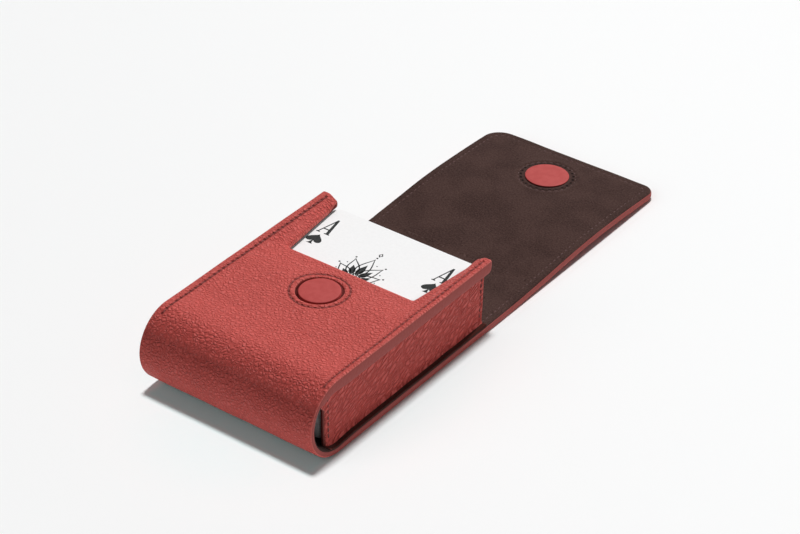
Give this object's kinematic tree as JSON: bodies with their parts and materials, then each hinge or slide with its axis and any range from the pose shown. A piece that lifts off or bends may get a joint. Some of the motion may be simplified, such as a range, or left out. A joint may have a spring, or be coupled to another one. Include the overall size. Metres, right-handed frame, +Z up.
{
  "type": "playing card case",
  "caption": "Leather playing card case with side gussets, a thumb notch, a rounded closed end and a magnetic fold-over flap, open, with its cards inside.",
  "frame": {"origin": "centre of the open case's outline, on the surface that it lies on", "axes": "+X across the case, +Y from the closed end to the flap's tip, +Z up out of the front"},
  "size_m": [0.075, 0.211, 0.03],
  "materials": {
    "grained_leather": "pebble-grained red leather, satin",
    "gusset_leather": "pebble-grained red leather, a little darker",
    "cover_leather": "smooth red leather moulded over the magnet",
    "suede": "dark brown suede, matt",
    "red_thread": "waxed dark red thread",
    "dark_thread": "waxed dark brown thread",
    "magnet": "nickel-plated, hidden",
    "card_stock": "plastic-coated card, smooth"
  },
  "bodies": {
    "case": {"case_leather": "grained_leather", "case_lining": "suede", "front_magnet": "magnet", "front_magnet_cover": "cover_leather", "left_gusset_leather": "gusset_leather", "left_gusset_lining": "suede", "left_gusset_stitches": "red_thread", "right_gusset_leather": "gusset_leather", "right_gusset_lining": "suede", "right_gusset_stitches": "red_thread", "left_front_stitches": "red_thread", "right_front_stitches": "red_thread", "left_back_stitches": "red_thread", "right_back_stitches": "red_thread", "front_ring_stitches": "red_thread", "playing_cards": "card_stock"},
    "top_card": {"top_card": "card_stock"},
    "lower_fold": {"lower_fold_leather": "grained_leather", "lower_fold_lining": "suede", "lower_fold_stitches": "red_thread"},
    "upper_fold": {"upper_fold_leather": "grained_leather", "upper_fold_lining": "suede", "upper_fold_stitches": "red_thread"},
    "flap": {"flap_leather": "grained_leather", "flap_lining": "suede", "flap_magnet": "magnet", "flap_magnet_cover": "cover_leather", "flap_ring_stitches": "dark_thread", "flap_inner_stitches": "dark_thread", "flap_outer_stitches": "red_thread"}
  },
  "joints": [
    {"name": "mouth_fold", "type": "hinge", "parent": "case", "child": "lower_fold", "pos_m": [0, -0.00083, 0.003], "axis": [1, 0, 0], "range_deg": [0, 60]},
    {"name": "middle_fold", "type": "hinge", "parent": "lower_fold", "child": "upper_fold", "pos_m": [0, 0.01655, 0.003], "axis": [1, 0, 0], "range_deg": [0, 60]},
    {"name": "flap_fold", "type": "hinge", "parent": "upper_fold", "child": "flap", "pos_m": [0, 0.03393, 0.003], "axis": [1, 0, 0], "range_deg": [0, 60]},
    {"name": "card_slide", "type": "slide", "parent": "case", "child": "top_card", "axis": [0, 1, 0], "range_m": [0, 0.105]}
  ],
  "couplings": [
    {"joint": "middle_fold", "follows": "mouth_fold", "ratio": 1},
    {"joint": "flap_fold", "follows": "mouth_fold", "ratio": 1}
  ]
}
